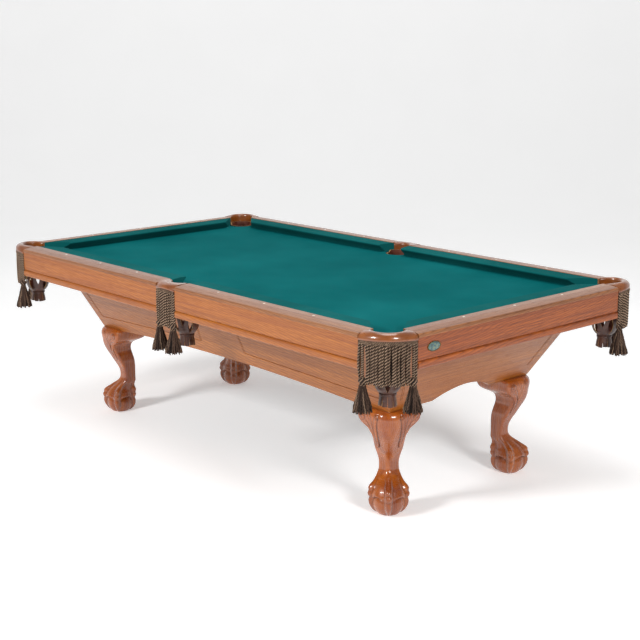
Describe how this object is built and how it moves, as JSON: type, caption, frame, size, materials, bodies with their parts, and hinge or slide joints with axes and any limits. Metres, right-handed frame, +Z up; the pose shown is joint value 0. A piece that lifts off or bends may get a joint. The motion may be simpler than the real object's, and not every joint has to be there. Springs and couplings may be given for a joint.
{
  "type": "pool table",
  "caption": "Oak pool table with a cloth-covered slate bed, fringed leather pockets with swinging tassels, a tapered cabinet and carved ball-and-claw legs.",
  "frame": {"origin": "on the floor, under the middle of the table", "axes": "+X along the table to the head end with the oval plate, +Y across to the table's left side, +Z up"},
  "size_m": [2.603, 1.4908, 0.812],
  "materials": {
    "slate": "honed grey slate, hidden under the cloth",
    "cloth": "tight-woven worsted wool billiard cloth, matte teal green",
    "oak": "honey-stained oak with strong grain, satin lacquer",
    "cabinet_oak": "honey-stained oak, slightly duller and browner, satin lacquer",
    "carved_oak": "carved hardwood, honey stain, glossy lacquer",
    "pocket_iron": "rounded brown cap over the pocket, glossy lacquer",
    "leather": "dark reddish-brown saddle leather with pale cut edges",
    "cord": "twisted brown and tan cotton cord with a slight lustre",
    "plate": "small oval badge, dark green enamel with a thin metal rim, no wording"
  },
  "bodies": {
    "table": {"slate_bed": "slate", "bed_cloth": "cloth", "rail_cap_right_head": "oak", "cushion_right_head": "cloth", "apron_right_head": "oak", "rail_cap_right_foot": "oak", "cushion_right_foot": "cloth", "apron_right_foot": "oak", "rail_cap_left_head": "oak", "cushion_left_head": "cloth", "apron_left_head": "oak", "rail_cap_left_foot": "oak", "cushion_left_foot": "cloth", "apron_left_foot": "oak", "rail_cap_head": "oak", "cushion_head": "cloth", "apron_head": "oak", "rail_cap_foot": "oak", "cushion_foot": "cloth", "apron_foot": "oak", "pocket_iron_head_right": "pocket_iron", "pocket_bag_head_right": "leather", "fringe_head_right": "cord", "pocket_iron_head_left": "pocket_iron", "pocket_bag_head_left": "leather", "fringe_head_left": "cord", "pocket_iron_foot_right": "pocket_iron", "pocket_bag_foot_right": "leather", "fringe_foot_right": "cord", "pocket_iron_foot_left": "pocket_iron", "pocket_bag_foot_left": "leather", "fringe_foot_left": "cord", "pocket_iron_side_right": "pocket_iron", "pocket_bag_side_right": "leather", "fringe_side_right": "cord", "pocket_iron_side_left": "pocket_iron", "pocket_bag_side_left": "leather", "fringe_side_left": "cord", "cabinet_panel_right": "cabinet_oak", "cabinet_panel_left": "cabinet_oak", "cabinet_panel_head": "cabinet_oak", "cabinet_panel_foot": "cabinet_oak", "centre_beam": "cabinet_oak", "leg_head_right": "carved_oak", "leg_head_left": "carved_oak", "leg_foot_right": "carved_oak", "leg_foot_left": "carved_oak", "name_plate": "plate"},
    "head_right_tassel_1": {"tassel_head_right_1": "cord"},
    "head_right_tassel_2": {"tassel_head_right_2": "cord"},
    "head_left_tassel_1": {"tassel_head_left_1": "cord"},
    "head_left_tassel_2": {"tassel_head_left_2": "cord"},
    "foot_right_tassel_1": {"tassel_foot_right_1": "cord"},
    "foot_right_tassel_2": {"tassel_foot_right_2": "cord"},
    "foot_left_tassel_1": {"tassel_foot_left_1": "cord"},
    "foot_left_tassel_2": {"tassel_foot_left_2": "cord"},
    "side_right_tassel_1": {"tassel_side_right_1": "cord"},
    "side_right_tassel_2": {"tassel_side_right_2": "cord"},
    "side_left_tassel_1": {"tassel_side_left_1": "cord"},
    "side_left_tassel_2": {"tassel_side_left_2": "cord"}
  },
  "joints": [
    {"name": "head_right_tassel_1_swing", "type": "hinge", "parent": "table", "child": "head_right_tassel_1", "pos_m": [1.27062, -0.58908, 0.77], "axis": [-0.7071, -0.7071, 0], "range_deg": [0, 70]},
    {"name": "head_right_tassel_2_swing", "type": "hinge", "parent": "table", "child": "head_right_tassel_2", "pos_m": [1.14758, -0.71212, 0.77], "axis": [-0.7071, -0.7071, 0], "range_deg": [0, 70]},
    {"name": "head_left_tassel_1_swing", "type": "hinge", "parent": "table", "child": "head_left_tassel_1", "pos_m": [1.27062, 0.58908, 0.77], "axis": [0.7071, -0.7071, 0], "range_deg": [0, 70]},
    {"name": "head_left_tassel_2_swing", "type": "hinge", "parent": "table", "child": "head_left_tassel_2", "pos_m": [1.14758, 0.71212, 0.77], "axis": [0.7071, -0.7071, 0], "range_deg": [0, 70]},
    {"name": "foot_right_tassel_1_swing", "type": "hinge", "parent": "table", "child": "foot_right_tassel_1", "pos_m": [-1.27062, -0.58908, 0.77], "axis": [-0.7071, 0.7071, 0], "range_deg": [0, 70]},
    {"name": "foot_right_tassel_2_swing", "type": "hinge", "parent": "table", "child": "foot_right_tassel_2", "pos_m": [-1.14758, -0.71212, 0.77], "axis": [-0.7071, 0.7071, 0], "range_deg": [0, 70]},
    {"name": "foot_left_tassel_1_swing", "type": "hinge", "parent": "table", "child": "foot_left_tassel_1", "pos_m": [-1.27062, 0.58908, 0.77], "axis": [0.7071, 0.7071, 0], "range_deg": [0, 70]},
    {"name": "foot_left_tassel_2_swing", "type": "hinge", "parent": "table", "child": "foot_left_tassel_2", "pos_m": [-1.14758, 0.71212, 0.77], "axis": [0.7071, 0.7071, 0], "range_deg": [0, 70]},
    {"name": "side_right_tassel_1_swing", "type": "hinge", "parent": "table", "child": "side_right_tassel_1", "pos_m": [0.046, -0.7134, 0.77], "axis": [-1, 0, 0], "range_deg": [0, 70]},
    {"name": "side_right_tassel_2_swing", "type": "hinge", "parent": "table", "child": "side_right_tassel_2", "pos_m": [-0.046, -0.7134, 0.77], "axis": [-1, 0, 0], "range_deg": [0, 70]},
    {"name": "side_left_tassel_1_swing", "type": "hinge", "parent": "table", "child": "side_left_tassel_1", "pos_m": [0.046, 0.7134, 0.77], "axis": [1, 0, 0], "range_deg": [0, 70]},
    {"name": "side_left_tassel_2_swing", "type": "hinge", "parent": "table", "child": "side_left_tassel_2", "pos_m": [-0.046, 0.7134, 0.77], "axis": [1, 0, 0], "range_deg": [0, 70]}
  ]
}
